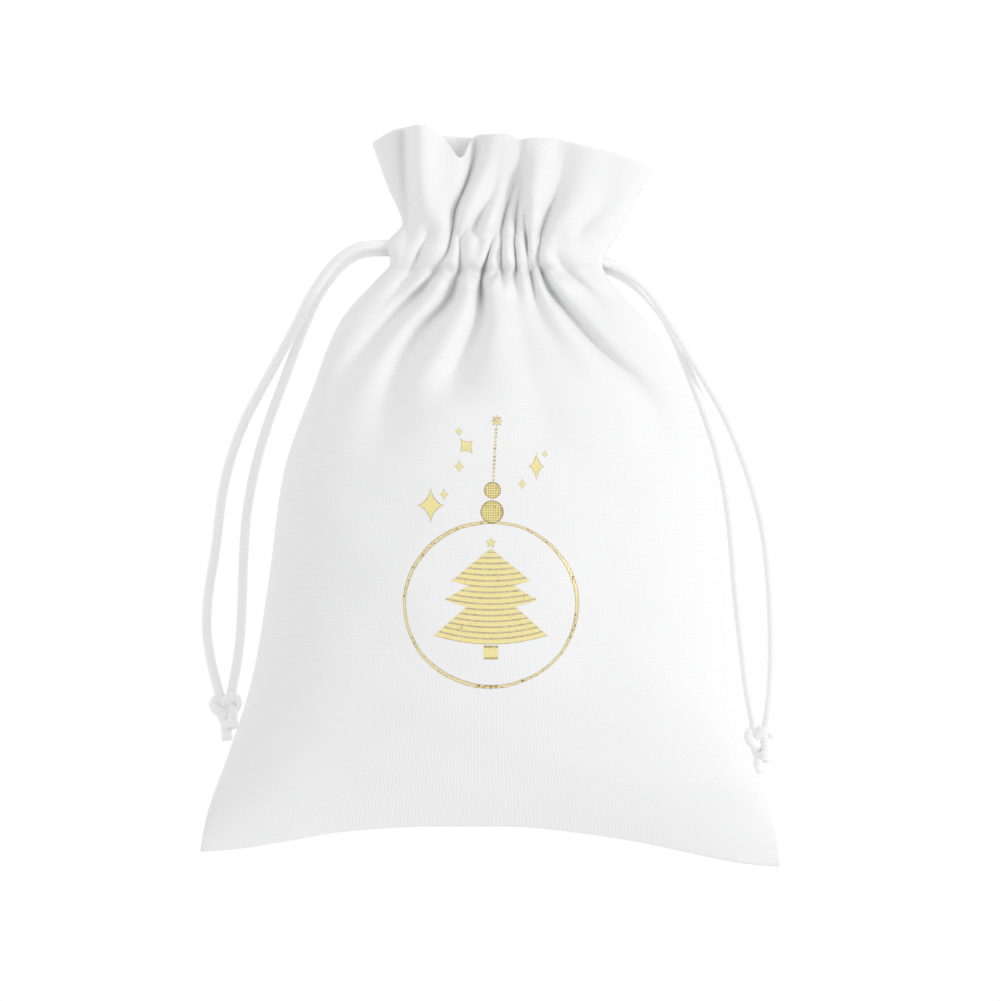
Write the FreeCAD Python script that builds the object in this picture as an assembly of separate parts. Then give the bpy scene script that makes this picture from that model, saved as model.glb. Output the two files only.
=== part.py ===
"""Drawstring gift pouch lying on its back, filled out, with its neck drawn closed.

+X runs across the pouch, +Y towards the mouth and +Z up, out of the printed front. z = 0 is the surface
that the back rests on. Sizes are in millimetres.
"""
import FreeCAD, Part
import math
import os
from FreeCAD import Vector

os.makedirs("parts", exist_ok=True)

# ---- cloth ----
CLOTH = 0.8           # canvas with its finish
SEAM_GAP = 0.3        # half the gap between the front and the back edge at a side seam
COLUMNS = 12          # steps across a sheet

# ---- neck and channel ----
NECK_LEFT = -24.4
NECK_RIGHT = 30.8
NECK_Z = 18.0
CHANNEL_Y0 = 57.3
CHANNEL_Y1 = 66.7
CHANNEL_TOP = 28.2    # outer face of the front channel, middle
CHANNEL_FALL = 1.0    # how much lower that face is at the sides

# ---- cords ----
CORD = 2.5
BORE_RISE = 6.5       # each bore's height above or below the neck's middle, and the turn's radius
LEFT_CORD_Y = 63.6
RIGHT_CORD_Y = 60.0
LEFT_EXIT_X = -26.4
RIGHT_EXIT_X = 32.8
TURN_INSET = 9.6      # from the neck's side to the middle of the cord's turn
PULL = 5.0            # travel of each cord in its channel
CLEAR = 0.3
BALL_CLEAR = 0.35

# ---- body: one row per height, from the bottom edge to the neck ----
# y at the middle, y drop at the corners, left x, right x, side seam z, front rise, back drop
BODY_ROWS = [
    (-84.4, 8.6, -74.6, 74.6, 2.8, 9.0, -9.0),
    (-79.0, 5.0, -72.6, 73.2, 6.0, 14.0, 0.5),
    (-66.0, 1.5, -67.2, 66.8, 13.0, 23.0, 12.0),
    (-45.0, 0.0, -60.5, 60.2, 21.0, 31.0, 22.5),
    (-20.0, 0.0, -56.7, 59.4, 25.0, 33.0, 26.5),
    (5.0, 0.0, -53.7, 57.0, 25.0, 31.0, 26.0),
    (28.0, 0.0, -46.2, 50.6, 23.0, 25.5, 21.0),
    (45.0, 0.0, -38.8, 41.2, 20.0, 16.0, 14.5),
    (56.9, 0.0, -27.6, 31.0, 18.0, 10.0, 9.6),
]
BOTTOM_SKEW = 1.65    # how much lower the bottom edge's right corner lies than its left one, halved
BOTTOM_GAP = 1.05     # half the distance between the front and the back face at the bottom edge
BOTTOM_POWER = 2.0    # the bottom edge's rise, where the sections above it are ellipses of power 1
BACK_FLATNESS = 0.7   # power that flattens the back's section
REST_DEPTH = 0.05     # the back's resting patch is made this far below z = 0 and cut flat there

# ---- header: the frill above the channel ----
# y at the middle, left x, right x, rise at the middle
HEADER_ROWS = [
    (67.1, -23.4, 33.2, 9.7),
    (76.0, -26.0, 37.2, 9.5),
    (85.0, -28.4, 40.0, 9.4),
    (94.0, -30.2, 42.0, 9.2),
]
HEADER_PEAK = -0.45   # place of the top edge's highest point, from -1 at the left to 1 at the right
HEADER_SLOPE = 5.05   # fall of the top edge away from that point
HEM_GAP = 0.35        # between the header and the hem folded inside it
HEADER_GAP = 0.5      # half the gap between the front and the back edge of the header

# ---- print ----
FOIL_LOW = 0.08       # the foil's lower face above the cloth
FOIL_HIGH = 0.23
RING_X = 0.3
RING_Y = -27.2
RING_RX = 22.0
RING_RY = 21.0
RING_LINE = 0.9
TREE_X = 0.3
TREE_TIERS = [(-21.2, 10.4, 5.6), (-26.4, 12.6, 6.2), (-35.6, 16.0, 1.8)]
TREE_TOP = -13.0
TRUNK_HALF = 1.8
TRUNK_FOOT = -40.8
GARLAND_PITCH = 1.46
GARLAND_LINE = 0.36
GARLAND_RADIUS = 46.0
# centre x, centre y, half width, half height
SPARKLES = [
    (-14.9, -2.1, 3.3, 4.3),
    (-11.5, 0.6, 1.1, 1.6),
    (-7.7, 7.7, 1.3, 1.6),
    (-5.9, 12.8, 2.2, 2.6),
    (-7.8, 16.5, 1.0, 1.2),
    (11.8, 7.7, 1.9, 3.6),
    (13.9, 10.8, 0.8, 1.0),
    (8.2, 3.3, 1.0, 1.5),
]

# ---- free strands: each corner of the route, from the exit to the knot ----
LEFT_OUTER = [
    (LEFT_EXIT_X, LEFT_CORD_Y, NECK_Z + BORE_RISE),
    (-36.0, 62.6, 22.0),
    (-44.4, 54.0, 13.0),
    (-50.8, 42.5, 4.6),
    (-57.8, 30.0, 1.4),
    (-64.8, 17.0, 1.35),
    (-69.2, 2.0, 1.35),
    (-70.6, -13.0, 1.35),
    (-73.2, -27.0, 1.35),
    (-73.0, -40.0, 1.6),
    (-69.6, -51.4, 3.0),
]
LEFT_INNER = [
    (LEFT_EXIT_X, LEFT_CORD_Y, NECK_Z - BORE_RISE),
    (-35.4, 62.0, 9.6),
    (-43.6, 53.6, 4.2),
    (-48.6, 42.6, 1.35),
    (-53.2, 30.0, 1.35),
    (-58.8, 15.0, 1.35),
    (-62.6, -1.0, 1.35),
    (-63.7, -16.0, 1.35),
    (-64.0, -30.0, 1.35),
    (-64.8, -41.0, 1.6),
    (-66.8, -51.4, 3.0),
]
RIGHT_OUTER = [
    (RIGHT_EXIT_X, RIGHT_CORD_Y, NECK_Z + BORE_RISE),
    (40.4, 56.0, 20.5),
    (46.8, 45.6, 11.5),
    (53.0, 34.4, 4.2),
    (60.6, 22.0, 1.35),
    (66.4, 8.0, 1.35),
    (71.0, -8.0, 1.35),
    (72.6, -25.0, 1.35),
    (73.0, -40.0, 1.35),
    (72.6, -51.6, 1.7),
    (71.2, -59.8, 3.0),
]
RIGHT_INNER = [
    (RIGHT_EXIT_X, RIGHT_CORD_Y, NECK_Z - BORE_RISE),
    (40.6, 55.6, 9.4),
    (46.4, 45.0, 3.8),
    (51.0, 33.0, 1.35),
    (56.2, 20.0, 1.35),
    (60.4, 6.0, 1.35),
    (62.6, -10.0, 1.35),
    (63.6, -25.0, 1.35),
    (65.4, -40.0, 1.35),
    (66.6, -50.6, 1.7),
    (68.4, -59.8, 3.0),
]
KNOT_WIDTH = 6.0
KNOT_LENGTH = 9.5
KNOT_TAPER = 2.2      # length of each tapered end
KNOT_END = 1.9        # radius at the ends
KNOT_TAIL = 4.5
LEFT_KNOT = (-68.2, -54.6, 3.1)
LEFT_KNOT_HEADING = -82
RIGHT_KNOT = (69.8, -63.0, 3.1)
RIGHT_KNOT_HEADING = -87
SINK = 1.2            # how far a tail reaches into its knot


def save(shape, name):
    shape.exportStep("parts/" + name + ".step")
    print(name, "valid", shape.isValid(), "solids", len(shape.Solids), "volume", round(shape.Volume, 1))


def mix(low, high, share):
    return low + (high - low) * share


# ---- sheets: a grid of points made thick ----
def across():
    """Angles across a sheet, from the left seam to the right one."""
    return [math.pi * (i / COLUMNS - 0.5) for i in range(COLUMNS + 1)]


def normals(rows):
    """Unit normals of a grid of points, by differences between neighbours."""
    last_row = len(rows) - 1
    last_column = len(rows[0]) - 1
    result = []
    for j, row in enumerate(rows):
        line = []
        for i in range(len(row)):
            along = row[min(i + 1, last_column)] - row[max(i - 1, 0)]
            up = rows[min(j + 1, last_row)][i] - rows[max(j - 1, 0)][i]
            line.append(along.cross(up).normalize())
        result.append(line)
    return result


def offset(rows, distance):
    return [[p + n * distance for p, n in zip(row, line)] for row, line in zip(rows, normals(rows))]


def thick(near, far):
    """The closed solid between two grids of points."""
    near_surface = Part.BSplineSurface()
    far_surface = Part.BSplineSurface()
    near_surface.interpolate(near)
    far_surface.interpolate(far)
    faces = [near_surface.toShape(), far_surface.toShape()]
    u0, u1, v0, v1 = near_surface.bounds()
    s0, s1, t0, t1 = far_surface.bounds()
    edges = [
        (near_surface.uIso(u0), far_surface.uIso(s0)),
        (near_surface.uIso(u1), far_surface.uIso(s1)),
        (near_surface.vIso(v0), far_surface.vIso(t0)),
        (near_surface.vIso(v1), far_surface.vIso(t1)),
    ]
    for near_edge, far_edge in edges:
        faces.append(Part.makeRuledSurface(near_edge.toShape(), far_edge.toShape()))
    shell = Part.makeShell(faces)
    shell.sewShape()
    solid = Part.makeSolid(shell)
    if solid.Volume < 0:
        solid.reverse()
    return solid


# ---- body ----
def body_grid(side):
    """Outer face of the front (side 1) or the back (side -1), row by row."""
    rows = []
    for y, corner_drop, left, right, seam_z, rise, drop in BODY_ROWS:
        bottom = drop < 0
        gap = BOTTOM_GAP if bottom else SEAM_GAP
        power = BOTTOM_POWER if bottom else 1.0 if side > 0 else BACK_FLATNESS
        skew = BOTTOM_SKEW * corner_drop / BODY_ROWS[0][1]
        row = []
        for angle in across():
            u = math.sin(angle)
            x = mix(left, right, (u + 1) / 2)
            bow = max(math.cos(angle), 0.0) ** power
            z = seam_z + gap + rise * bow if side > 0 else seam_z - gap - drop * bow
            row.append(Vector(x, y - corner_drop * u * u - skew * u, max(z, -REST_DEPTH)))
        rows.append(row)
    return rows


def front_panel():
    grid = body_grid(1)
    return thick(grid, offset(grid, -CLOTH))


def back_panel():
    grid = body_grid(-1)
    solid = thick(grid, offset(grid, CLOTH))
    below = Part.makeBox(200, 200, 10, Vector(-100, -100, -10))
    return solid.cut(below)


def seam_allowance(side):
    """The folded edges of both panels inside one side seam, from above the corner to the shoulder."""
    near, far = [], []
    half = CLOTH
    width = 6.0
    inset = 2.4
    for y, _, left, right, seam_z, _, _ in BODY_ROWS[2:8]:
        edge = left + inset if side < 0 else right - inset - width
        near.append([Vector(edge + width * k / 3, y, seam_z + half) for k in range(4)])
        far.append([Vector(edge + width * k / 3, y, seam_z - half) for k in range(4)])
    return thick(near, far)


def bottom_allowance():
    """The folded edges inside the bottom seam, clear of both corners."""
    y, corner_drop, left, right, seam_z, rise, _ = BODY_ROWS[0]
    depth = 5.0
    inset = 2.4
    near, far = [], []
    for k in range(4):
        near_row, far_row = [], []
        for i in range(9):
            u = mix(-0.72, 0.72, i / 8)
            x = mix(left, right, (u + 1) / 2)
            place_y = y - corner_drop * u * u - BOTTOM_SKEW * u + inset + depth * k / 3
            z = seam_z + rise * (1 - u * u)
            near_row.append(Vector(x, place_y, z + CLOTH / 2))
            far_row.append(Vector(x, place_y, z - CLOTH / 2))
        near.append(near_row)
        far.append(far_row)
    return thick(near, far)


# ---- channel ----
def channel_grid(side, level):
    """Outer face of a channel wall, whose middle is this far from the neck's middle."""
    rows = []
    for y in (CHANNEL_Y0, mix(CHANNEL_Y0, CHANNEL_Y1, 0.5), CHANNEL_Y1):
        row = []
        for i in range(9):
            u = i / 4 - 1
            x = mix(NECK_LEFT, NECK_RIGHT, (u + 1) / 2)
            row.append(Vector(x, y, NECK_Z + side * (level - CHANNEL_FALL * u * u)))
        rows.append(row)
    return rows


def channel_wall(side):
    grid = channel_grid(side, CHANNEL_TOP - NECK_Z)
    return thick(grid, offset(grid, -side * CLOTH))


def channel_facing(side):
    """The hem's inner layer behind the channel, short of both cords' turns by their travel."""
    left = NECK_LEFT + TURN_INSET + PULL + CLEAR
    right = NECK_RIGHT - TURN_INSET - PULL - CLEAR
    top = BORE_RISE - CORD / 2 - CLEAR
    low = NECK_Z + (top - CLOTH if side > 0 else -top)
    return Part.makeBox(right - left, CHANNEL_Y1 - CHANNEL_Y0, CLOTH, Vector(left, CHANNEL_Y0, low))


# ---- header ----
def header_grid(side, inward=0.0):
    rows = []
    for j, (y, left, right, rise) in enumerate(HEADER_ROWS):
        row = []
        share = j / (len(HEADER_ROWS) - 1)
        for angle in across():
            u = math.sin(angle)
            x = mix(left + inward, right - inward, (u + 1) / 2)
            top_fall = HEADER_SLOPE * ((u - HEADER_PEAK) ** 2 - HEADER_PEAK ** 2)
            bow = (rise - inward) * max(math.cos(angle), 0.0)
            row.append(Vector(x, y - share * top_fall, NECK_Z + side * (HEADER_GAP + bow)))
        rows.append(row)
    return rows


def header_sheet(side, inward=0.0):
    grid = header_grid(side, inward)
    return thick(grid, offset(grid, -side * CLOTH))


# ---- stitches ----
def stitch_row(side, y):
    """A row of short stitches on a channel wall."""
    pitch = 3.0
    length = 2.2
    radius = 0.2
    count = int((NECK_RIGHT - NECK_LEFT - 4) / pitch)
    stitches = []
    for k in range(count):
        x = NECK_LEFT + 3 + k * pitch
        u = 2 * (x + length / 2 - NECK_LEFT) / (NECK_RIGHT - NECK_LEFT) - 1
        level = CHANNEL_TOP - NECK_Z - CHANNEL_FALL * u * u
        z = NECK_Z + side * (level + radius + 0.12)
        stitches.append(Part.makeCylinder(radius, length, Vector(x, y, z), Vector(1, 0, 0)))
    return Part.makeCompound(stitches)


# ---- cords ----
def route_wire(points):
    """Straight runs joined by tangent arcs as large as the runs allow; returns the wire and the radii."""
    places = [Vector(*p) for p in points]
    edges, radii = [], []
    start = places[0]
    for before, corner, after in zip(places, places[1:], places[2:]):
        back = before - corner
        on = after - corner
        run = min(back.Length, on.Length)
        turn = math.pi - back.getAngle(on)
        tangent = 0.45 * run
        radius = tangent / math.tan(turn / 2)
        back.normalize()
        on.normalize()
        entry = corner + back * tangent
        leave = corner + on * tangent
        inward = (back + on).normalize()
        centre = corner + inward * math.hypot(radius, tangent)
        middle = centre - inward * radius
        edges.append(Part.LineSegment(start, entry).toShape())
        edges.append(Part.Arc(entry, middle, leave).toShape())
        radii.append(round(radius, 1))
        start = leave
    edges.append(Part.LineSegment(start, places[-1]).toShape())
    return Part.Wire(edges), radii


def tube(wire):
    first = wire.Edges[0]
    start = first.Vertexes[0].Point
    direction = first.tangentAt(first.FirstParameter)
    ring = Part.Wire([Part.makeCircle(CORD / 2, start, direction)])
    return wire.makePipeShell([ring], True, False)


def strand(points, name):
    """A free strand with a ball end at its exit."""
    wire, radii = route_wire(points)
    body = tube(wire)
    section = math.pi * CORD ** 2 / 4
    share = body.Volume / (section * wire.Length)
    print(name, "length", round(wire.Length, 1), "radii", radii, "volume share", round(share, 3))
    ball = Part.makeSphere(CORD / 2, Vector(*points[0]))
    return body.fuse(ball)


def channel_run(side, y):
    """The cord inside both channels, with its turn at the far side; side -1 is the left cord."""
    if side < 0:
        open_x = LEFT_EXIT_X + CORD / 2 + BALL_CLEAR
        turn_x = NECK_RIGHT - TURN_INSET
    else:
        open_x = RIGHT_EXIT_X - CORD / 2 - BALL_CLEAR
        turn_x = NECK_LEFT + TURN_INSET
    high = NECK_Z + BORE_RISE
    low = NECK_Z - BORE_RISE
    top_line = Part.LineSegment(Vector(open_x, y, high), Vector(turn_x, y, high))
    bend = Part.Arc(Vector(turn_x, y, high), Vector(turn_x - side * BORE_RISE, y, NECK_Z), Vector(turn_x, y, low))
    low_line = Part.LineSegment(Vector(turn_x, y, low), Vector(open_x, y, low))
    wire = Part.Wire([top_line.toShape(), bend.toShape(), low_line.toShape()])
    print("channel run length", round(wire.Length, 1), "turn radius", BORE_RISE)
    return tube(wire)


def knot(middle, heading):
    """An overhand knot's outer shape with its two short tails; heading turns them in plan, in degrees."""
    half = KNOT_LENGTH / 2
    along = Vector(1, 0, 0)
    belly = Part.makeCylinder(KNOT_WIDTH / 2, 2 * (half - KNOT_TAPER), Vector(KNOT_TAPER - half, 0, 0), along)
    front = Part.makeCone(KNOT_WIDTH / 2, KNOT_END, KNOT_TAPER, Vector(half - KNOT_TAPER, 0, 0), along)
    back = Part.makeCone(KNOT_END, KNOT_WIDTH / 2, KNOT_TAPER, Vector(-half, 0, 0), along)
    body = belly.fuse([front, back])
    for spread in (-14, 14):
        angle = math.radians(spread)
        way = Vector(math.cos(angle), math.sin(angle), -0.1)
        start = Vector(KNOT_LENGTH / 2 - SINK, spread * 0.11, -0.7)
        body = body.fuse(Part.makeCylinder(CORD / 2, KNOT_TAIL + SINK, start, way))
    body.rotate(Vector(0, 0, 0), Vector(0, 0, 1), heading)
    body.translate(Vector(*middle))
    return body


# ---- print ----
def foil_skin():
    """A thin skin over the front, which each printed figure is cut from."""
    grid = body_grid(1)
    return thick(offset(grid, FOIL_HIGH), offset(grid, FOIL_LOW))


def prism(face):
    return face.extrude(Vector(0, 0, 80))


def ellipse_face(x, y, rx, ry):
    wide = rx >= ry
    curve = Part.Ellipse(Vector(x, y, 0), max(rx, ry), min(rx, ry)).toShape()
    if not wide:
        curve.rotate(Vector(x, y, 0), Vector(0, 0, 1), 90)
    return Part.Face(Part.Wire([curve]))


def disc_face(x, y, radius):
    return Part.Face(Part.Wire([Part.makeCircle(radius, Vector(x, y, 0))]))


def polygon_face(points):
    corners = [Vector(x, y, 0) for x, y in points]
    return Part.Face(Part.makePolygon(corners + corners[:1]))


def star_face(x, y, outer, inner, tips):
    points = []
    for k in range(2 * tips):
        radius = outer if k % 2 == 0 else inner
        angle = math.pi / 2 + math.pi * k / tips
        points.append((x + radius * math.cos(angle), y + radius * math.sin(angle)))
    return polygon_face(points)


def sparkle_face(x, y, half_width, half_height):
    """A four-point star whose sides curve in."""
    tips = [(half_width, 0), (0, half_height), (-half_width, 0), (0, -half_height)]
    hollow = 0.12
    edges = []
    for (ax, ay), (bx, by) in zip(tips, tips[1:] + tips[:1]):
        side = Part.BezierCurve()
        side.setPoles([
            Vector(x + ax, y + ay, 0),
            Vector(x + (ax + bx) * hollow, y + (ay + by) * hollow, 0),
            Vector(x + bx, y + by, 0),
        ])
        edges.append(side.toShape())
    return Part.Face(Part.Wire(edges))


def tree_faces():
    """Fir tree outline in three tiers, parted by curved garlands."""
    right = [(0, TREE_TOP)]
    for tip_y, half, notch in TREE_TIERS:
        right.append((half, tip_y))
        right.append((notch, tip_y - 0.9))
    right.append((TRUNK_HALF, TRUNK_FOOT))
    left = [(-x, y) for x, y in reversed(right[1:])]
    face = polygon_face([(TREE_X + x, y) for x, y in right + left])
    bottom = TREE_TIERS[-1][0]
    for k in range(13):
        low_y = bottom + 0.9 + k * GARLAND_PITCH
        centre_y = low_y + GARLAND_RADIUS
        band = disc_face(TREE_X, centre_y, GARLAND_RADIUS).cut(
            disc_face(TREE_X, centre_y, GARLAND_RADIUS - GARLAND_LINE))
        face = face.cut(band)
    return face


def print_nodes():
    skin = foil_skin()
    ring = ellipse_face(RING_X, RING_Y, RING_RX, RING_RY).cut(
        ellipse_face(RING_X, RING_Y, RING_RX - RING_LINE, RING_RY - RING_LINE))
    cap = disc_face(0.6, -3.8, 2.9).fuse(disc_face(0.7, 1.7, 2.1))
    cap = cap.cut(ellipse_face(RING_X, RING_Y, RING_RX + 0.15, RING_RY + 0.15))
    beads = [disc_face(mix(0.9, 1.6, k / 11), mix(4.4, 16.6, k / 11), 0.38) for k in range(12)]
    figures = {
        "foil_ring": [ring],
        "foil_cap": [cap],
        "foil_chain": beads,
        "foil_chain_star": [star_face(1.8, 19.2, 1.5, 0.7, 8)],
        "foil_tree": [tree_faces()],
        "foil_tree_star": [star_face(TREE_X, TREE_TOP + 1.3, 1.2, 0.55, 5)],
        "foil_sparkles": [sparkle_face(*row) for row in SPARKLES],
    }
    for name, faces in figures.items():
        solids = []
        for face in faces:
            for piece in face.Faces:
                solids.extend(skin.common(prism(piece)).Solids)
        save(Part.makeCompound(solids), name)


# ---- every node ----
save(front_panel(), "front_panel")
save(back_panel(), "back_panel")
save(seam_allowance(-1), "left_seam_allowance")
save(seam_allowance(1), "right_seam_allowance")
save(bottom_allowance(), "bottom_seam_allowance")
for word, side in (("front", 1), ("back", -1)):
    save(channel_wall(side), word + "_channel_wall")
    save(channel_facing(side), word + "_channel_facing")
    save(header_sheet(side), word + "_header")
    save(header_sheet(side, CLOTH + HEM_GAP), word + "_header_hem")
    save(stitch_row(side, CHANNEL_Y0 + 0.7), word + "_lower_stitches")
    save(stitch_row(side, CHANNEL_Y1 - 0.7), word + "_upper_stitches")

save(channel_run(-1, LEFT_CORD_Y), "left_cord_channel_run")
save(channel_run(1, RIGHT_CORD_Y), "right_cord_channel_run")
save(strand(LEFT_OUTER, "left_outer_strand"), "left_outer_strand")
save(strand(LEFT_INNER, "left_inner_strand"), "left_inner_strand")
save(strand(RIGHT_OUTER, "right_outer_strand"), "right_outer_strand")
save(strand(RIGHT_INNER, "right_inner_strand"), "right_inner_strand")
save(knot(LEFT_KNOT, LEFT_KNOT_HEADING), "left_knot")
save(knot(RIGHT_KNOT, RIGHT_KNOT_HEADING), "right_knot")
print_nodes()
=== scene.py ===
"""Drawstring gift pouch: cloth, cords, knots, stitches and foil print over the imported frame.

The pouch lies on its back, the mouth towards +Y and the printed front up (+Z). Shapes are worked out in
millimetres and go into the meshes in metres. On a cloth's flat cut, s runs across from the middle and t up
from the bottom seam. A valley between two pleats is a line that runs down the cloth from the frill.
"""
import math

import bpy
import numpy as np
from mathutils import Matrix, Vector
from mathutils.bvhtree import BVHTree


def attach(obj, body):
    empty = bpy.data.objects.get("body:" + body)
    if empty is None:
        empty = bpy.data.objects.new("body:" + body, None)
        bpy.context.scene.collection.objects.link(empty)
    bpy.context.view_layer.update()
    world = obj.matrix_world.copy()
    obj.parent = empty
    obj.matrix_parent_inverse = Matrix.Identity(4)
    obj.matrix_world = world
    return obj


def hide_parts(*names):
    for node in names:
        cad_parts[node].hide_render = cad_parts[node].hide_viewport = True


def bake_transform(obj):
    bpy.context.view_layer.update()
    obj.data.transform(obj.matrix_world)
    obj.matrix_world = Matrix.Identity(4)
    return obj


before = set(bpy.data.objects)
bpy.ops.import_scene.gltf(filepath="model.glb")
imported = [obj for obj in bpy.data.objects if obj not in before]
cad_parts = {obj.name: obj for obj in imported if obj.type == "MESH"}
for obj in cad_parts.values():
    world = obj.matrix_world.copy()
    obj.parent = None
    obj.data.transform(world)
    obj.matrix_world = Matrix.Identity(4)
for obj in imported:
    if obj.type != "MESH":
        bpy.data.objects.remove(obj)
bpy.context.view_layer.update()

MM = 0.001
SEED = 7

# ---- cloth, in millimetres ----
HALF_CUT = 75.0           # half the flat width of each cloth
CUT_LENGTH = 200.0        # flat length of each cloth, from the bottom seam to the folded top
ALLOWANCES = [5.0, 3.0, 1.25]    # how far each added row of the seam allowance reaches inside
CHANNEL_LOW = 165.0       # lower stitch row on the flat cut
CHANNEL_HIGH = 175.0      # upper stitch row
GATHER = 169.0            # middle of the band that the cords gather
DOUBLED_FROM = 167.0      # above this flat height the cloth is doubled
FRILL_LOW = 178.0         # above this flat height, the frill takes on the shape of its top edge
LENS_HIGH = 20.0          # below this flat height, the rows pass over into the bottom seam's plain arch
CORNER_REACH = 34.0       # flat height over which the bottom edge's shape fades out
CORNER_ROWS = 9           # rows at the bottom corners that have no side allowance
NARROWED = 0.99           # width of the bottom allowance's rows, as a share of the cloth's
STEP = 1.25               # pitch of the cloth grid
CLOTH = 0.55              # thickness of one layer
HEM = 1.0                 # thickness where the hem doubles it
WEAVE = 0.62              # pitch of the canvas's threads
CLEARANCE = 0.02          # kept free under the back
SEAM_HALF = 0.32          # half the distance of the two cloths at a seam
MOUTH_HALF = 2.3          # half the height of the opening that the cords leave by, at each side
MOUTH_REACH = 5.6         # half the flat length of that opening

# where the cloth is drawn in: t, reach along t and share of the height; below zero the pleats bulge
CINCHES = [(CHANNEL_LOW, 1.5, 0.5), (CHANNEL_LOW - 4.0, 2.2, -0.2), (CHANNEL_HIGH, 1.8, 0.34)]

# how evenly a row's points are spread: t and a number of cells
SPREAD = [(130.0, 6.0), (155.0, 2.0), (163.0, 0.9), (177.0, 0.9), (190.0, 5.0)]

# Stations up the pouch: t, y, left x, right x and z of the side seams, then how far the front's middle
# stands above the seams and the back's hangs below them (negative where the bottom seam arches up).
STATIONS = [
    (0.0, -84.4, -74.6, 74.6, 3.0, 9.0, -9.0),
    (9.0, -78.6, -73.0, 73.4, 6.0, 15.5, 0.2),
    (29.0, -65.5, -67.0, 66.6, 13.0, 24.0, 12.0),
    (55.0, -45.0, -60.4, 60.4, 21.0, 31.4, 20.9),
    (81.0, -20.0, -56.2, 59.8, 25.0, 33.2, 24.9),
    (106.0, 5.0, -52.8, 57.2, 25.0, 31.2, 24.9),
    (130.0, 28.0, -45.0, 50.4, 23.0, 25.6, 20.6),
    (150.0, 45.0, -38.2, 39.8, 20.0, 16.5, 14.5),
    (163.0, 56.0, -28.6, 30.2, 18.2, 10.0, 9.4),
    (167.5, 60.0, -25.0, 28.6, 18.0, 9.6, 8.8),
    (172.5, 64.4, -26.0, 30.4, 18.0, 9.6, 8.8),
    (174.8, 66.4, -25.2, 32.0, 18.0, 9.6, 8.8),
    (178.0, 69.3, -21.8, 33.6, 18.0, 9.6, 8.8),
    (188.0, 80.0, -26.0, 37.6, 17.8, 9.8, 8.6),
    (200.0, 91.5, -30.2, 42.0, 17.6, 10.2, 8.2),
]

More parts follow.
